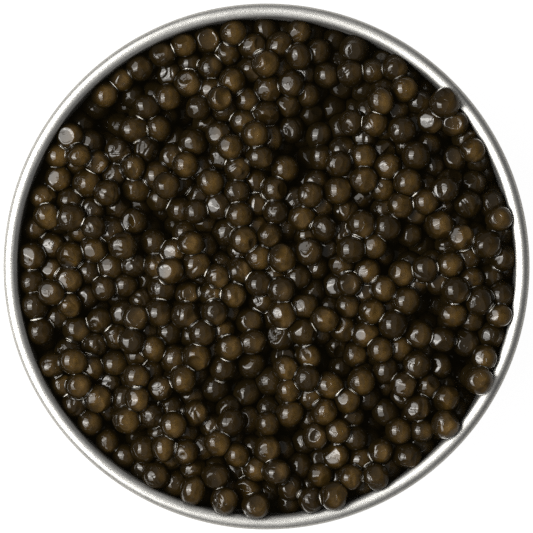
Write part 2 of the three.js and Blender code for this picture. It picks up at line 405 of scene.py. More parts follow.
def turned(points, turn, lean, towards):
    """Points turned round Z, then leant over towards a direction, in degrees."""
    turn, lean, towards = np.radians([turn, lean, towards])
    axis = np.array([-math.sin(towards), math.cos(towards), 0])
    spun = np.column_stack([
        points[:, 0] * math.cos(turn) - points[:, 1] * math.sin(turn),
        points[:, 0] * math.sin(turn) + points[:, 1] * math.cos(turn),
        points[:, 2],
    ])
    along = np.outer(spun @ axis, axis)
    return along + (spun - along) * math.cos(lean) + np.cross(axis, spun) * math.sin(lean)


def ripple(dirs, rng, sizes):
    """Smooth random unevenness over a ball, about 1 high, with a wave for each of the sizes."""
    waves = np.zeros(len(dirs))
    for size in sizes:
        way = rng.normal(size=3)
        waves += np.sin(dirs @ (way / np.linalg.norm(way)) * size + rng.uniform(0, 2 * math.pi)) / size
    return waves * sizes[0] / len(sizes)


def creases(dirs, rng, depth, width):
    """How deep curved furrows lie below the skin, which run side by side over one part of it."""
    across = dirs @ tilted(rng.uniform(30, 90), rng.uniform(0, 360)) * rng.uniform(2, 4.5)
    across += ripple(dirs, rng, (2.5, 4.0, 6.0)) * 1.6
    middle = tilted(rng.uniform(0, 55), rng.uniform(0, 360))
    patch = smooth_step(rng.uniform(0.3, 0.8), 0.97, dirs @ middle)
    return depth * np.exp(-(np.sin(across) / width) ** 2) * patch


def dent(points, rng, height, ragged, fallen):
    """The cap beyond an uneven edge, fallen flat at 1 and turned inward at 2."""
    normal = tilted(rng.uniform(0, 50), rng.uniform(0, 360))
    edge = ripple(points, rng, (3.0, 5.0, 8.0)) * ragged
    over = points @ normal - height + edge
    inside = smooth_step(-0.02, 0.05, over)
    return points - np.outer(inside * np.maximum(over, 0) * fallen, normal), inside


def facet_normals(rng, count):
    """Directions spread evenly but not regularly over a ball, for the flats that packing leaves."""
    order = np.arange(count) + rng.uniform(0.2, 0.8, count)
    height = 1 - 2 * order / count
    turn = order * 2.4 + rng.uniform(0, 2 * math.pi) + rng.uniform(-0.5, 0.5, count)
    out = np.sqrt(1 - height ** 2)
    upright = np.column_stack([out * np.cos(turn), out * np.sin(turn), height])
    return turned(upright, rng.uniform(0, 360), rng.uniform(0, 90), rng.uniform(0, 360))


# Eggs that can't be seen from above and lie deeper than this are left out
UNSEEN_DEPTH = 2.8

# The eggs that show are cut finer above this share of their radius
FINE_FROM = 0.15
FINE_CUTS = 2

# The share of the eggs that show for each kind
KIND_SHARES = {"round": 0.25, "long": 0.12, "flattened": 0.26, "wrinkled": 0.22, "dented": 0.15}

# What each point of an egg tells its material: its tone with painted shade by depth, the painted glow, the
# painted shade in hollows, the painted bright arc and the painted shade by the skin's depth
EGG_VALUES = ("tone_and_depth_shade", "painted_glow", "painted_hollow_shade", "lens", "shade")

# How uneven an egg is, as a share of its radius, and the sizes of the unevenness
UNEVEN = {"round": 0.05, "long": 0.09, "flattened": 0.09, "wrinkled": 0.09, "dented": 0.09, "below": 0.09}
UNEVEN_SIZES = (2.2, 3.4, 5.2, 8.5)

# How far the eggs of each kind are drawn out, or pressed together, along one way
STRETCH = {
    "round": (-0.08, 0.03), "long": (0.10, 0.24), "flattened": (-0.16, 0.08),
    "wrinkled": (-0.18, 0.08), "dented": (-0.12, 0.06), "below": (-0.15, 0.12),
}

# How many flats the eggs of each kind have, and how deep the deepest may be
FLATS = {
    "round": (8, 0.05), "long": (8, 0.08), "flattened": (9, 0.17),
    "wrinkled": (10, 0.12), "dented": (8, 0.08), "below": (9, 0.12),
}
FLAT_EDGE = 0.004
FLAT_LEFT = (0.08, 0.25)

# How many eggs of each kind have a flat lid on top that the light catches, and how such lids lie
LID_SHARE = {"round": 0.2, "long": 0.35, "flattened": 0.8, "wrinkled": 0.4, "dented": 0.3, "below": 0.4}
LID_TILT = (4, 34)
LID_TURN = (100, 260)
LID_DEPTH = (0.05, 0.19)
LID_LEFT = (0.1, 0.3)

# Creases, dents and bursts in an egg of radius 1, and how dark the shade painted inside them is
CREASE_DEPTH = (0.03, 0.09)
CREASE_WIDTH = (0.2, 0.45)
CREASE_SHADE = 7
DENT_HEIGHT = (0.74, 0.95)
DENT_RAGGED = 0.12
DENT_FALLEN, DENT_SHADE = 1.15, 0.15
BURST_SHARE = 0.1
BURST_FALLEN, BURST_SHADE = 1.7, 0.8

# Where eggs press on each other: how near they are, the gap that stays and how round its edge is
PRESS_REACH = 0.5
PRESS_GAP = 0.012
PRESS_EDGE = 0.015

# The way to the side of an egg where a golden glow is painted, as if light that entered it gathered there,
# and where the painted bright arc of clear eggs lies
PAINTED_GLOW_WAY = np.array([0.5, -0.12, 0.86])
PAINTED_ARC_RANGE = (0.72, 0.99)
PAINTED_ARC_TILT = (30, 62)
PAINTED_ARC_TURN = (-50, 30)

# Painted shade: an egg darkens with the depth of its middle, and its skin with its own depth, in millimetres
TONE_SHADE_DEPTHS, DEPTH_SHADE_LOSS = (0.6, 3.2), 0.7
SHADE_DEPTHS = (0.3, 3.5)

# How far the eggs' skin stays from the wall and from the rim
WALL_CLEARANCE = 0.03
RIM_CLEARANCE = 0.02


def shaped_egg(index, form, kind, swell):
    """One egg in its place: its points in millimetres, triangles and values for the material."""
    eggs = filled_eggs()
    centre, radius = eggs[index, :3], eggs[index, 3] * swell
    rng = rng_for(1, index)
    base, faces = form
    dirs = turned(base, rng.uniform(0, 360), rng.uniform(0, 12), rng.uniform(0, 360))
    points = dirs * (1 + UNEVEN[kind] * ripple(dirs, rng, UNEVEN_SIZES))[:, None]
    oval = rng.normal(size=3)
    oval /= np.linalg.norm(oval)
    if kind == "long":
        oval = tilted(rng.uniform(60, 90), rng.uniform(0, 360))
    points += np.outer(points @ oval, oval) * rng.uniform(*STRETCH[kind])
    points /= np.linalg.norm(points, axis=1).mean()
    painted_hollow_shade = np.zeros(len(points))
    flats, deepest = FLATS[kind]
    for normal in facet_normals(rng, flats):
        height = 1 - deepest * rng.uniform(0.1, 1) ** 1.5
        points = pressed_flat(points, normal, height, FLAT_EDGE, rng.uniform(*FLAT_LEFT))
    if rng.random() < LID_SHARE[kind]:
        lid = tilted(rng.uniform(*LID_TILT), rng.uniform(*LID_TURN))
        height = 1 - rng.uniform(*LID_DEPTH)
        points = pressed_flat(points, lid, height, FLAT_EDGE, rng.uniform(*LID_LEFT))
    if kind == "wrinkled":
        for _ in range(2):
            depth = creases(dirs, rng, rng.uniform(*CREASE_DEPTH), rng.uniform(*CREASE_WIDTH))
            points -= dirs * depth[:, None]
            # Painted shade in the crease
            painted_hollow_shade = np.maximum(painted_hollow_shade, depth * CREASE_SHADE)
    if kind == "dented":
        burst = rng.random() < BURST_SHARE
        # How dark the shade painted inside the dent or burst is
        fallen, dark = (BURST_FALLEN, BURST_SHADE) if burst else (DENT_FALLEN, DENT_SHADE)
        points, inside = dent(points, rng, rng.uniform(*DENT_HEIGHT), DENT_RAGGED, fallen)
        painted_hollow_shade = np.maximum(painted_hollow_shade, inside * dark)
    points = centre + points * radius
    for other in touching_eggs(PRESS_REACH)[index]:
        away = eggs[other, :3] - centre
        distance = np.linalg.norm(away)
        away /= distance
        other_radius = eggs[other, 3] * swell
        plane = (distance ** 2 + radius ** 2 - other_radius ** 2) / (2 * distance) - PRESS_GAP
        points = pressed_flat(points, away, centre @ away + plane, PRESS_EDGE)
    points = kept_off_tin(points)
    depth = level(centre[0], centre[1]) - centre[2]
    # The egg's own random tone, with painted shade that darkens it the deeper its middle lies
    tone_and_depth_shade = smooth_step(-0.1, 0.8, rng.random()) * (1 - DEPTH_SHADE_LOSS * smooth_step(*TONE_SHADE_DEPTHS, depth))
    tone_and_depth_shade = np.full(len(points), tone_and_depth_shade)
    # Painted glow: brighter towards one side, where light that entered the egg would gather
    painted_glow = smooth_step(-0.1, 1.0, dirs @ PAINTED_GLOW_WAY)
    # A painted bright arc, as of light gathered at the edge of some clear eggs
    lens = smooth_step(*PAINTED_ARC_RANGE, dirs @ tilted(rng.uniform(*PAINTED_ARC_TILT), rng.uniform(*PAINTED_ARC_TURN)))
    lens *= rng.uniform(0, 1) ** 2
    # Painted shade by the skin's depth below the heap
    shade = smooth_step(*SHADE_DEPTHS, level(points[:, 0], points[:, 1]) + 1 - points[:, 2])
    return points, faces, np.column_stack([tone_and_depth_shade, painted_glow, np.clip(painted_hollow_shade, 0, 1), lens, shade])


def kept_off_tin(points):
    """Points that would lie in the tin's wall or rolled rim are moved onto its surface."""
    out = np.hypot(points[:, 0], points[:, 1])
    over_lip = points[:, 2] > LIP_Z
    inside = np.where(over_lip, out, np.minimum(out, WALL_RADIUS - WALL_CLEARANCE))
    inward = np.where(inside < BEAD_R, (inside - BEAD_R) / LIP_FULLNESS, inside - BEAD_R)
    up = points[:, 2] - BEAD_Z
    from_bead = np.hypot(inward, up)
    clear = BEAD_RADIUS + RIM_CLEARANCE
    share = np.where(over_lip & (from_bead < clear), clear / np.maximum(from_bead, 0.01), 1)
    wanted = BEAD_R + (inside - BEAD_R) * share
    moved = points.copy()
    moved[:, :2] *= (wanted / np.maximum(out, 0.01))[:, None]
    moved[:, 2] = BEAD_Z + up * share
    return moved


def egg_kinds(threshold):
    """Which eggs make up each piece: those that show are shared out by kind, the rest lie below."""
    shares = shown_share()
    shown = np.flatnonzero(shares >= threshold)
    order = rng_for(2).permutation(shown)
    kinds = {}
    start = 0
    for kind, share in KIND_SHARES.items():
        end = min(start + math.ceil(share * len(order)), len(order))
        kinds[kind] = sorted(order[start:end])
        start = end
    eggs = filled_eggs()
    depths = np.array([level(x, y) - z for x, y, z in eggs[:, :3]])
    kinds["below"] = list(np.flatnonzero((shares < threshold) & ((shares > 0) | (depths < UNSEEN_DEPTH))))
    return kinds


class Value:
    """A shader socket that can stand in a sum, which adds its Math nodes."""

    def __init__(self, socket):
        self.socket = socket

    def maths(self, operation, first, second=0.0):
        tree = self.socket.id_data
        node = tree.nodes.new("ShaderNodeMath")
        node.operation = operation
        for place, value in enumerate((first, second)):
            if isinstance(value, Value):
                tree.links.new(value.socket, node.inputs[place])
            else:
                node.inputs[place].default_value = value
        return Value(node.outputs[0])

    def __add__(self, other):
        return self.maths("ADD", self, other)

    def __radd__(self, other):
        return self.maths("ADD", other, self)

    def __sub__(self, other):
        return self.maths("SUBTRACT", self, other)

    def __rsub__(self, other):
        return self.maths("SUBTRACT", other, self)

    def __mul__(self, other):
        return self.maths("MULTIPLY", self, other)

    def __rmul__(self, other):
        return self.maths("MULTIPLY", other, self)

    def __truediv__(self, other):
        return self.maths("DIVIDE", self, other)

    def __rtruediv__(self, other):
        return self.maths("DIVIDE", other, self)

    def __pow__(self, other):
        return self.maths("POWER", self, other)


class Finish:
    """A material and the few kinds of node that its recipe needs."""

    def __init__(self, name):
        self.material = bpy.data.materials.new(name)
        self.material.use_nodes = True
        self.tree = self.material.node_tree
        self.tree.nodes.clear()

    def node(self, kind, settings, values, output=0):
        """Adds a node: its settings are set first, then the values or links of its sockets."""
        node = self.tree.nodes.new(kind)
        for key, value in settings.items():
            setattr(node, key, value)
        for key, value in values.items():
            if isinstance(value, Value):
                self.tree.links.new(value.socket, node.inputs[key])
            else:
                node.inputs[key].default_value = value
        return Value(node.outputs[output]) if node.outputs else None

    def place(self):
        """The point on the piece, in millimetres."""
        spot = self.node("ShaderNodeTexCoord", {}, {}, "Object")
        return self.node("ShaderNodeVectorMath", {"operation": "SCALE"}, {0: spot, "Scale": 1 / MM})

    def attribute(self, name):
        return self.node("ShaderNodeAttribute", {"attribute_name": name}, {}, "Fac")

    def noise(self, place, scale, detail=2.0, rough=0.5):
        values = {"Vector": place, "Scale": scale, "Detail": detail, "Roughness": rough}
        return self.node("ShaderNodeTexNoise", {}, values)

    def between(self, value, low, high, start=0.0, end=1.0):
        """A value's range from low to high, brought smoothly to start to end."""
        values = {"Value": value, "From Min": low, "From Max": high, "To Min": start, "To Max": end}
        return self.node("ShaderNodeMapRange", {"interpolation_type": "SMOOTHSTEP"}, values)

    def mix(self, share, first, second):
        """A colour part of the way from the first to the second."""
        values = {0: share, 6: first, 7: second}
        return self.node("ShaderNodeMix", {"data_type": "RGBA"}, values, 2)

    def bump(self, height, distance, normal=None):
        """A bump as deep as distance in millimetres."""
        values = {"Height": height, "Distance": distance * MM}
        if normal:
            values["Normal"] = normal
        return self.node("ShaderNodeBump", {}, values)

    def surface(self, values, other=None, share=0.0):
        """The shader itself, joined to the material's output; a share of another may be mixed in."""
        shader = self.node("ShaderNodeBsdfPrincipled", {}, values)
        if other:
            second = self.node("ShaderNodeBsdfPrincipled", {}, other)
            shader = self.node("ShaderNodeMixShader", {}, {0: share, 1: shader, 2: second})
        self.node("ShaderNodeOutputMaterial", {}, {"Surface": shader})
        return self.material


def opaque(colour):
    return (*colour, 1.0)


# How the painted glow in an egg falls off from its golden side, and how it grows with the egg's own tone
PAINTED_GLOW_FALL, TONE_FALL = 2.1, 1.6
LEAST_LIGHT, TONE_LIGHT = 0.16, 0.78

# How much of the colour the painted shade in creases and dents takes, how much the painted bright arc adds,
# and how far the painted shade with depth turns it to brine
HOLLOW_SHADE_LOSS, PAINTED_ARC_SHARE, SHADE_SHARE = 0.9, 0.35, 0.85

# Heights of the bumps, in millimetres
SKIN_BUMP, FOLD_BUMP, GRAIN_BUMP = 0.045, 0.016, 0.0018
BRINE_BUMP, STREAK_BUMP = 0.01, 0.001


def egg_finish(look):
    """Wet roe skin: a painted golden glow where light would gather in the egg, and painted shade near black
    at its edges.
    """
    finish = Finish("wet roe")
    spot = finish.place()
    tone_and_depth_shade = finish.attribute("tone_and_depth_shade")
    painted_glow = finish.attribute("painted_glow")
    mottle = finish.noise(spot, 1.1, 3.0)
    specks = finish.noise(spot, 6.0, 2.0, 0.7)
    # Painted glow towards the egg's golden side, growing with the egg's own tone, with real mottling
    light = painted_glow ** PAINTED_GLOW_FALL * (LEAST_LIGHT + TONE_LIGHT * tone_and_depth_shade ** TONE_FALL)
    light = light * finish.between(mottle, 0.3, 0.7, 0.55, 1.2) * finish.between(specks, 0.3, 0.7, 0.8, 1.2)
    # Painted shade in creases and dents
    light = light * (1.0 - finish.attribute("painted_hollow_shade") * HOLLOW_SHADE_LOSS)
    body = finish.mix(light, opaque(look.dark), opaque(look.golden))
    # Painted bright arc on clear eggs
    body = finish.mix(finish.attribute("lens") * PAINTED_ARC_SHARE, body, opaque(look.painted_arc_colour))
    shade = finish.attribute("shade")
    # Painted shade with depth, towards the brine's colour
    body = finish.mix(shade * SHADE_SHARE, body, opaque(look.brine))
    skin = finish.noise(spot, 1.1, 2.0)
    warp = finish.node("ShaderNodeTexNoise", {}, {"Vector": spot, "Scale": 0.9, "Detail": 1.0}, "Color")
    bent = finish.node(
        "ShaderNodeVectorMath", {"operation": "MULTIPLY_ADD"}, {0: warp, 1: (1.5, 1.5, 1.5), 2: spot},
    )
    walls = finish.node(
        "ShaderNodeTexVoronoi", {"feature": "DISTANCE_TO_EDGE"}, {"Vector": bent, "Scale": 0.55}, "Distance",
    )
    folds = finish.between(walls, 0.03, 0.0) * finish.between(finish.noise(spot, 0.7), 0.45, 0.6)
    grain = finish.noise(spot, 7.0, 2.0, 0.6)
    normal = finish.bump(skin, SKIN_BUMP)
    normal = finish.bump(folds, FOLD_BUMP, normal)
    normal = finish.bump(grain, GRAIN_BUMP, normal)
    rough = finish.between(finish.noise(spot, 2.5, 2.0), 0.35, 0.65, 0.03, 0.09)
    wet = {
        "Base Color": body,
        "Roughness": rough,
        "IOR": look.ior,
        "Normal": normal,
        # A faint painted glow, even in the darkest gaps
        "Emission Color": opaque(look.painted_fill_glow),
        "Emission Strength": 1.0,
    }
    # A dull copy without gloss for deep parts, mixed in by the painted depth shade
    depth_shaded_dull = {
        "Base Color": body,
        "Specular IOR Level": 0.0,
        "Emission Color": opaque(look.painted_fill_glow),
        "Emission Strength": 1.0,
    }
    return finish.surface(wet, depth_shaded_dull, finish.between(shade, 0.7, 1.0, 0.0, 0.7))


def brine_finish(look, ior):
    """Dark brown brine, wet and smooth, with a painted glint where the painted_glint attribute says so."""
    finish = Finish("dark brine")
    spot = finish.place()
    cloud = finish.noise(spot, 0.8, 3.0)
    colour = finish.mix(finish.between(cloud, 0.3, 0.7), opaque(look.brine), opaque(look.dark))
    # Painted glint on the necks
    colour = finish.mix(finish.attribute("painted_glint"), colour, opaque(look.painted_glint))
    normal = finish.bump(finish.noise(spot, 2.2, 1.0), BRINE_BUMP)
    return finish.surface({
        "Base Color": colour,
        "Roughness": 0.04,
        "IOR": ior,
        "Normal": normal,
        # A faint painted glow, even in the darkest gaps
        "Emission Color": opaque(look.painted_fill_glow),
        "Emission Strength": 1.0,
    })


def tin_finish(look):
    """Satin tinplate: fine grain and soft streaks that run round the tin."""
    finish = Finish("satin tinplate")
    spot = finish.place()
    parts = finish.node("ShaderNodeSeparateXYZ", {}, {0: spot}, "X").socket.node.outputs
    x, y, z = Value(parts[0]), Value(parts[1]), Value(parts[2])
    out = (x * x + y * y + 0.01) ** 0.5
    round_way = finish.node("ShaderNodeCombineXYZ", {}, {0: x / out * 9.0, 1: y / out * 9.0, 2: out * 6.0})
    streaks = finish.node(
        "ShaderNodeTexNoise", {"noise_dimensions": "4D"},
        {"Vector": round_way, "W": z * 2.0, "Scale": 1.0, "Detail": 2.0, "Roughness": 0.6},
    )
    grain = finish.noise(spot, 5.5, 3.0, 0.7)
    cloud = finish.noise(spot, 0.35, 2.0)
    shade = finish.between(streaks + grain * 0.25, 0.35, 0.9)
    colour = finish.mix(shade, opaque(look.metal_dark), opaque(look.metal))
    rough = 0.35 + 0.06 * shade + 0.06 * cloud
    normal = finish.bump(streaks, STREAK_BUMP)
    return finish.surface({"Base Color": colour, "Metallic": 1.0, "Roughness": rough, "Normal": normal})


def dressed(piece, material, node):
    """Gives a finished piece its material in one slot and its body, and hides the solid that it stands for.
    """
    piece.data.materials.clear()
    piece.data.materials.append(material)
    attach(piece, "root")
    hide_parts(node)
    return piece


COLOUR = {"subtype": "COLOR", "size": 3, "min": 0, "max": 1}


class RoeLook(bpy.types.PropertyGroup):
    """Shape and colours of the eggs and the brine."""

    swell: bpy.props.FloatProperty(
        name="Swell", description="How much fuller an egg is than the room it was packed in",
        default=1.16, min=1.0, max=1.25,
    )
    shown: bpy.props.FloatProperty(
        name="Shown from", description="Eggs that show this share of themselves get the finer form",
        default=0.45, min=0.1, max=0.9, subtype="FACTOR",
    )
    ior: bpy.props.FloatProperty(
        name="Refraction", description="Refractive index of the wet skin", default=1.38, min=1.3, max=1.6,
    )
    # The golden colour of the painted glow, where light that entered an egg would gather
    golden: bpy.props.FloatVectorProperty(
        name="Golden", description="Colour where light gathers in an egg",
        default=(0.0600, 0.0335, 0.0074), **COLOUR,
    )
    # The own colour of dark eggs, and the painted shade at the edge of every egg; the brine is clouded with
    # it too
    dark: bpy.props.FloatVectorProperty(
        name="Dark", description="Colour towards the edge of an egg",
        default=(0.0064, 0.0038, 0.0010), **COLOUR,
    )
    # Colour of the painted bright arc on clear eggs
    painted_arc_colour: bpy.props.FloatVectorProperty(
        name="Lit edge", description="Colour of the bright arc on clear eggs",
        default=(0.16, 0.095, 0.032), **COLOUR,
    )
    brine: bpy.props.FloatVectorProperty(
        name="Brine", description="Colour of the brine between the eggs",
        default=(0.0052, 0.0034, 0.0011), **COLOUR,
    )
    # Colour of the painted glint on the brine between two eggs
    painted_glint: bpy.props.FloatVectorProperty(
        name="Gleam", description="Colour of the brine where it catches the light between two eggs",
        default=(0.8, 0.77, 0.7), **COLOUR,
    )
    # A faint painted glow that the wet mass gives back even in its darkest gaps
    painted_fill_glow: bpy.props.FloatVectorProperty(
        name="Haze", description="Faint light that the wet mass gives back even in its darkest gaps",
        default=(0.0019, 0.0015, 0.0006), **COLOUR,
    )


class TinLook(bpy.types.PropertyGroup):
    """Shape and colours of the tin."""

    steps: bpy.props.IntProperty(
        name="Steps", description="Steps round the spun tin", default=256, min=60, max=512,
    )
    metal: bpy.props.FloatVectorProperty(
        name="Metal", description="Colour of the bare metal",
        default=(0.6, 0.596, 0.582), **COLOUR,
    )
    metal_dark: bpy.props.FloatVectorProperty(
        name="Dull metal", description="Colour of its duller streaks",
        default=(0.5, 0.496, 0.482), **COLOUR,
    )


class StageLook(bpy.types.PropertyGroup):
    """Camera and lights."""

    height: bpy.props.FloatProperty(
        name="Camera height", description="Height of the camera over the rim",
        default=0.45, unit="LENGTH", subtype="DISTANCE",
    )
    soft_box: bpy.props.FloatProperty(
        name="Soft box", description="Brightness of the soft box on the left", default=4.5, min=0,
    )
    soft_box_middle: bpy.props.FloatProperty(
        name="Soft box middle", description="Extra brightness of the soft box near its lamp",
        default=4.8, min=0,
    )
    bar: bpy.props.FloatProperty(
        name="Bar", description="Extra brightness of the lamp that shows across the soft box",
        default=14.0, min=0,
    )
    overhead: bpy.props.FloatProperty(
        name="Overhead", description="Brightness of the ceiling panel", default=0.33, min=0,
    )
    room: bpy.props.FloatProperty(
        name="Room", description="Brightness of the room overhead", default=0.08, min=0,
    )
    walls: bpy.props.FloatProperty(
        name="Walls", description="Brightness of the room near the horizon", default=0.22, min=0,
    )


class ROE_OT_spin_tin(bpy.types.Operator):
    """Spin the metal tin with its rolled rim and stepped base"""

    bl_idname = "roe.spin_tin"
    bl_label = "Spin the tin"

    def execute(self, context):
        look = context.scene.tin_look
        panel_edge, floor = PANEL_RADIUS - PANEL_STEP, PANEL_RISE + SHEET
        outline = [(0, PANEL_RISE), (panel_edge, PANEL_RISE), (PANEL_RADIUS, 0)]
        outline += arc((CORNER_R, CORNER_Z), CORNER_RADIUS + SHEET, -90, 0, 10)
        outline += arc((BEAD_R, BEAD_Z), BEAD_RADIUS - SHEET, 180, -90, 18)
        outline += arc((BEAD_R, BEAD_Z), BEAD_RADIUS, -90, 90, 24)
        lip = arc((0, 0), BEAD_RADIUS, 90, 180 - math.degrees(LIP_ANGLE), 8)[1:]
        outline += [(BEAD_R + r * LIP_FULLNESS, BEAD_Z + z) for r, z in lip]
        outline += arc((CORNER_R, CORNER_Z), CORNER_RADIUS, 0, -90, 10)
        outline += [(PANEL_RADIUS + SHEET, SHEET), (panel_edge + SHEET, floor), (0, floor)]
        tin = spun_piece("tin_shell", outline, look.steps)
        clear_selection()
        tin.select_set(True)
        context.view_layer.objects.active = tin
        bpy.ops.object.shade_smooth_by_angle(angle=math.radians(35))
        dressed(tin, tin_finish(look), "tin")
        return {"FINISHED"}


class ROE_OT_fill_brine(bpy.types.Operator):
    """Fill the lower part of the tin with the dark mass that the eggs lie in"""

    bl_idname = "roe.fill_brine"
    bl_label = "Fill the brine"

    def execute(self, context):
        low, top = PANEL_RISE + SHEET + BRINE_GAP, FILL_FLOOR + CORE_SHARE * EGG_DIAMETER
        narrow = WALL_RADIUS - WALL_TAPER - BRINE_GAP
        wide = narrow + WALL_TAPER * (top - CORNER_Z) / (BEAD_Z - CORNER_Z)
        panel = PANEL_RADIUS + SHEET
        outline = [(0, low), (panel - PANEL_STEP, low), (panel, SHEET + BRINE_GAP)]
        outline += arc((CORNER_R, CORNER_Z), CORNER_RADIUS - BRINE_GAP, -90, 0, 6)
        outline += [(narrow, CORNER_Z + 0.1)]
        outline += [(wide - inward, top + up) for inward, up in CORE_EDGE] + [(0, top)]
        brine = spun_piece("brine_core", outline, 96)
        clear_selection()
        brine.select_set(True)
        context.view_layer.objects.active = brine
        bpy.ops.object.shade_smooth_by_angle(angle=math.radians(40))
        dressed(brine, brine_finish(context.scene.roe_look, BRINE_IOR), "roe")
        return {"FINISHED"}


class ROE_OT_heap_eggs(bpy.types.Operator):
    """Lay every egg in its place, one piece for each kind"""

    bl_idname = "roe.heap_eggs"
    bl_label = "Heap the eggs"

    def execute(self, context):
        look = context.scene.roe_look
        material = egg_finish(look)
        for kind, members in egg_kinds(look.shown).items():
            form = egg_form(0 if kind == "below" else FINE_CUTS)
            parts = [shaped_egg(index, form, kind, look.swell) for index in members]
            piece = joined_mesh("eggs_" + kind, parts, EGG_VALUES)
            dressed(piece, material, "roe")
        return {"FINISHED"}


# Which eggs a neck of brine joins: how near and how well seen they are, and how deep and how steep it may be
NECK_REACH = 0.28
NECK_SHARE = 0.85
NECK_SEEN = (0.1, 0.55)
DEEPEST_NECK = 2.0
STEEPEST_NECK = 0.8

# A neck's points round it and rows across it, and how round it is drawn in, as a share of the eggs' radius
NECK_SIDES, NECK_ROWS = 20, 4
NECK_FILLET = (0.03, 0.09)

# Which rows across a neck get the painted glint: its middle, one edge or both edges
PAINTED_GLINT_ROWS = [(0, 0, 1, 0, 0), (0, 0, 1, 0, 0), (1, 0, 0, 0, 0), (0, 0, 0, 0, 1), (1, 0, 0, 0, 1)]


@functools.lru_cache
def neck_faces():
    """The triangles of one neck: bands between its rings, and a cap inside the egg at each end."""
    ring = np.arange(NECK_SIDES)
    following = (ring + 1) % NECK_SIDES
    faces = []
    for row in range(NECK_ROWS):
        start, end = row * NECK_SIDES, (row + 1) * NECK_SIDES
        faces.append(np.column_stack([start + ring, start + following, end + ring]))
        faces.append(np.column_stack([start + following, end + following, end + ring]))
    last = NECK_ROWS * NECK_SIDES
    low, high = last + NECK_SIDES, last + NECK_SIDES + 1
    faces.append(np.column_stack([np.full(NECK_SIDES, low), following, ring]))
    faces.append(np.column_stack([np.full(NECK_SIDES, high), last + ring, last + following]))
    return np.concatenate(faces)


def neck_of_brine(first, second, swell):
    """The neck that clings where two eggs touch, with a painted glint on a short arc of it, or None."""
    eggs = filled_eggs()
    rng = rng_for(3, first, second)
    if rng.random() > NECK_SHARE or level(*eggs[first, :2]) - eggs[first, 2] > DEEPEST_NECK:
        return None
    away = eggs[second, :3] - eggs[first, :3]
    distance = np.linalg.norm(away)
    away /= distance
    radii = eggs[[first, second], 3] * swell
    radius = radii.mean()
    if abs(away[2]) > STEEPEST_NECK:
        return None
    fillet = radius * rng.uniform(*NECK_FILLET)
    half = distance / 2
    if radius + fillet <= half:
        return None
    ring_out = math.sqrt((radius + fillet) ** 2 - half ** 2)
    reach = math.atan2(half, ring_out) + 0.12
    bend = np.linspace(-reach, reach, NECK_ROWS + 1)
    along = fillet * np.sin(bend)
    out = ring_out - fillet * np.cos(bend)
    side = np.cross(away, (0, 0, 1))
    side /= np.linalg.norm(side)
    other_side = np.cross(away, side)
    middle = eggs[first, :3] + away * (distance ** 2 + radii[0] ** 2 - radii[1] ** 2) / (2 * distance)
    turns = np.linspace(0, 2 * math.pi, NECK_SIDES, endpoint=False)
    circle = np.outer(np.cos(turns), side) + np.outer(np.sin(turns), other_side)
    points = [middle + away * s + circle * r for s, r in zip(along, out)]
    points += [[middle + away * along[0]], [middle + away * along[-1]]]
    # The painted glint lies on a short arc of the neck, near its side that faces up
    highest = math.atan2(other_side[2], side[2]) + rng.normal(0, 0.6)
    lit = smooth_step(-0.15, 0.15, np.cos(turns - highest) - math.cos(rng.uniform(0.25, 0.8)))
    rows_lit = PAINTED_GLINT_ROWS[rng.integers(len(PAINTED_GLINT_ROWS))]
    painted_glint = np.concatenate([np.outer(rows_lit, lit).ravel(), [0, 0]])[:, None]
    return np.concatenate(points), neck_faces(), painted_glint


class ROE_OT_wet_eggs(bpy.types.Operator):
    """Join neighbouring eggs by the small necks of brine that cling where they touch"""

    bl_idname = "roe.wet_eggs"
    bl_label = "Wet the eggs"

    def execute(self, context):
        look = context.scene.roe_look
        shares = shown_share()
        necks = []
        for first, others in enumerate(touching_eggs(NECK_REACH)):
            for second in others[others > first]:
                seen = shares[[first, second]]
                if seen.min() >= NECK_SEEN[0] and seen.sum() >= NECK_SEEN[1]:
                    necks.append(neck_of_brine(first, second, look.swell))
        piece = joined_mesh("liquid_necks", [neck for neck in necks if neck], ("painted_glint",))
        dressed(piece, brine_finish(look, NECK_IOR), "roe")
        return {"FINISHED"}


# The soft box hangs on the left, with a smaller lamp and a bar of light before it, each a little nearer
SOFT_BOX_TILT = math.radians(40)
SOFT_BOX_DISTANCE = 0.4
SOFT_BOX_WIDTH = 0.291
LAMP_STEP = 0.002
SOFT_BOX_LENGTH, MIDDLE_LENGTH, BAR_LENGTH = 0.56, 0.26, 0.045
WARM_WHITE = (1.0, 0.985, 0.945)

# The ceiling panel's shift to the right and its size
OVERHEAD_SHIFT = 0.02
OVERHEAD_SIZE = (0.333, 1.7)

# Only the camera sees the white floor; the grey one just below it lights the tin from under the horizon
WHITE_SIZE, GREY_SIZE = 4.0, 3.9
WHITE_FLOOR, WHITE_GLOW = (0.1, 0.1, 0.1), 0.97
GREY_FLOOR = (0.48, 0.473, 0.46)
FLOOR_GAP = 0.0005

# How high above the horizon the room is as dark as overhead, as a share of straight up
ROOM_FROM = 0.8

# The picture's width and the rim's radius in it, in pixels, and the camera's sensor in millimetres
PICTURE_WIDTH = 533
RIM_IN_PICTURE = 263.5
SENSOR_WIDTH = 36


def add_panel(name, place, aim, size, radiance):
    """A soft box: a flat lamp, its length along Y, that faces aim and isn't seen by the camera itself."""
    lamp = bpy.data.lights.new(name, "AREA")
    lamp.shape = "RECTANGLE"
    lamp.size, lamp.size_y = size
    lamp.energy = radiance * math.pi * size[0] * size[1]
    lamp.color = WARM_WHITE
    panel = bpy.data.objects.new(name, lamp)
    bpy.context.scene.collection.objects.link(panel)
    panel.location = place
    back = (Vector(place) - Vector(aim)).normalized()
    along = Vector((0, 1, 0))
    panel.rotation_euler = Matrix((along.cross(back), along, back)).transposed().to_euler()
    panel.visible_camera = False
    return panel


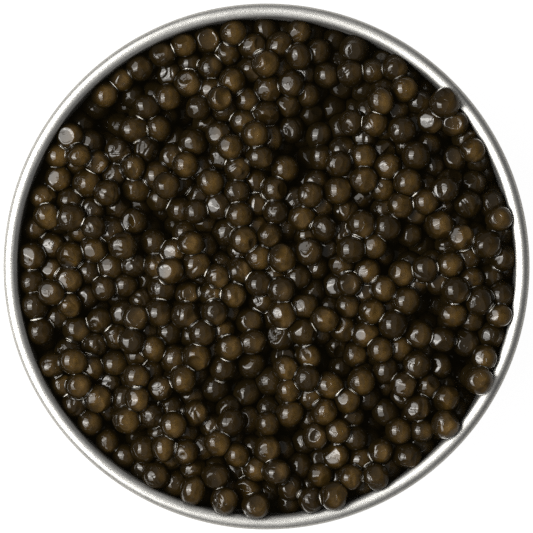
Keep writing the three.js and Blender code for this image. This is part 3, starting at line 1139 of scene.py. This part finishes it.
def add_floor(name, size, shade, lit):
    """A plain floor with a rounded edge."""
    clear_selection()
    bpy.ops.mesh.primitive_plane_add(size=size)
    floor = bpy.context.object
    floor.name = floor.data.name = name
    bpy.ops.object.mode_set(mode="EDIT")
    bpy.ops.mesh.select_all(action="SELECT")
    bpy.ops.mesh.bevel(offset=size * 0.1, segments=8, affect="VERTICES")
    bpy.ops.object.mode_set(mode="OBJECT")
    finish = Finish(name)
    floor.data.materials.append(finish.surface({
        "Base Color": opaque(shade), "Roughness": 1.0, "Specular IOR Level": 0.0,
        "Emission Color": (1, 1, 1, 1), "Emission Strength": lit,
    }))
    finish.material.cycles.emission_sampling = "NONE"
    return floor


def pale_room(look):
    """A plain room, darker overhead than near the horizon, which the camera itself sees as white."""
    world = bpy.data.worlds.new("pale room")
    world.use_nodes = True
    tree = world.node_tree
    tree.nodes.clear()
    way, split, fade, path, room, pale, mixed, out = (
        tree.nodes.new("ShaderNode" + kind) for kind in (
            "TexCoord", "SeparateXYZ", "MapRange", "LightPath",
            "Background", "Background", "MixShader", "OutputWorld",
        )
    )
    fade.interpolation_type = "SMOOTHSTEP"
    fade.inputs["From Max"].default_value = ROOM_FROM
    fade.inputs["To Min"].default_value = look.walls
    fade.inputs["To Max"].default_value = look.room
    for background in (room, pale):
        background.inputs["Color"].default_value = (1, 1, 1, 1)
    for source, target in (
        (way.outputs["Generated"], split.inputs[0]),
        (split.outputs["Z"], fade.inputs["Value"]),
        (fade.outputs[0], room.inputs["Strength"]),
        (path.outputs["Is Camera Ray"], mixed.inputs[0]),
        (room.outputs[0], mixed.inputs[1]),
        (pale.outputs[0], mixed.inputs[2]),
        (mixed.outputs[0], out.inputs["Surface"]),
    ):
        tree.links.new(source, target)
    return world


def add_camera(height):
    """The camera straight above the tin, whose lens fills the picture with the rim."""
    camera = bpy.data.cameras.new("camera")
    camera.sensor_width = SENSOR_WIDTH
    camera.lens = SENSOR_WIDTH * height / (TIN_HIGH.x * PICTURE_WIDTH / RIM_IN_PICTURE)
    camera.clip_end = 20
    eye = bpy.data.objects.new("camera", camera)
    bpy.context.scene.collection.objects.link(eye)
    eye.location = (0, 0, TIN_HIGH.z + height)
    return eye


class ROE_OT_set_stage(bpy.types.Operator):
    """Set up the pale floor, the soft light and the camera straight above"""

    bl_idname = "roe.set_stage"
    bl_label = "Set the stage"

    def execute(self, context):
        look = context.scene.stage_look
        seen = add_floor("white_floor", WHITE_SIZE, WHITE_FLOOR, WHITE_GLOW)
        seen.visible_glossy = seen.visible_diffuse = seen.visible_shadow = False
        around = add_floor("grey_floor", GREY_SIZE, GREY_FLOOR, 0.0)
        around.location.z = -FLOOR_GAP
        around.visible_camera = False
        rim = TIN_HIGH.z
        middle = Vector((0, 0, rim))
        away = Vector((-math.sin(SOFT_BOX_TILT), 0, math.cos(SOFT_BOX_TILT)))
        for step, (name, length, radiance) in enumerate((
            ("soft_box", SOFT_BOX_LENGTH, look.soft_box),
            ("soft_box_middle", MIDDLE_LENGTH, look.soft_box_middle),
            ("soft_box_bar", BAR_LENGTH, look.bar),
        )):
            distance = SOFT_BOX_DISTANCE - step * LAMP_STEP
            width = SOFT_BOX_WIDTH * distance / SOFT_BOX_DISTANCE
            add_panel(name, middle + away * distance, middle, (width, length), radiance)
        above = (OVERHEAD_SHIFT, 0, rim + SOFT_BOX_DISTANCE)
        add_panel("overhead_panel", above, (OVERHEAD_SHIFT, 0, 0), OVERHEAD_SIZE, look.overhead)
        context.scene.world = pale_room(look)
        context.scene.camera = add_camera(look.height)
        context.scene.view_settings.view_transform = "Standard"
        context.scene.cycles.use_denoising = False
        return {"FINISHED"}


class ROE_PT_pieces(bpy.types.Panel):
    """Lists the steps that build the tin of roe"""

    bl_label = "Tin of roe"
    bl_idname = "ROE_PT_pieces"
    bl_space_type = "VIEW_3D"
    bl_region_type = "UI"
    bl_category = "Roe"

    def draw(self, context):
        for look in ("tin_look", "roe_look", "stage_look"):
            group = getattr(context.scene, look)
            for name in group.__annotations__:
                self.layout.prop(group, name)
        for operator in OPERATORS:
            self.layout.operator(operator.bl_idname)


OPERATORS = (ROE_OT_spin_tin, ROE_OT_fill_brine, ROE_OT_heap_eggs, ROE_OT_wet_eggs, ROE_OT_set_stage)
CLASSES = (RoeLook, TinLook, StageLook, *OPERATORS, ROE_PT_pieces)


def register():
    for new_class in CLASSES:
        bpy.utils.register_class(new_class)
    bpy.types.Scene.roe_look = bpy.props.PointerProperty(type=RoeLook)
    bpy.types.Scene.tin_look = bpy.props.PointerProperty(type=TinLook)
    bpy.types.Scene.stage_look = bpy.props.PointerProperty(type=StageLook)


def unregister():
    del bpy.types.Scene.stage_look
    del bpy.types.Scene.tin_look
    del bpy.types.Scene.roe_look
    for old_class in reversed(CLASSES):
        bpy.utils.unregister_class(old_class)


def main():
    register()
    bpy.ops.roe.spin_tin()
    bpy.ops.roe.fill_brine()
    bpy.ops.roe.heap_eggs()
    bpy.ops.roe.wet_eggs()
    bpy.ops.roe.set_stage()


if __name__ == "__main__":
    main()
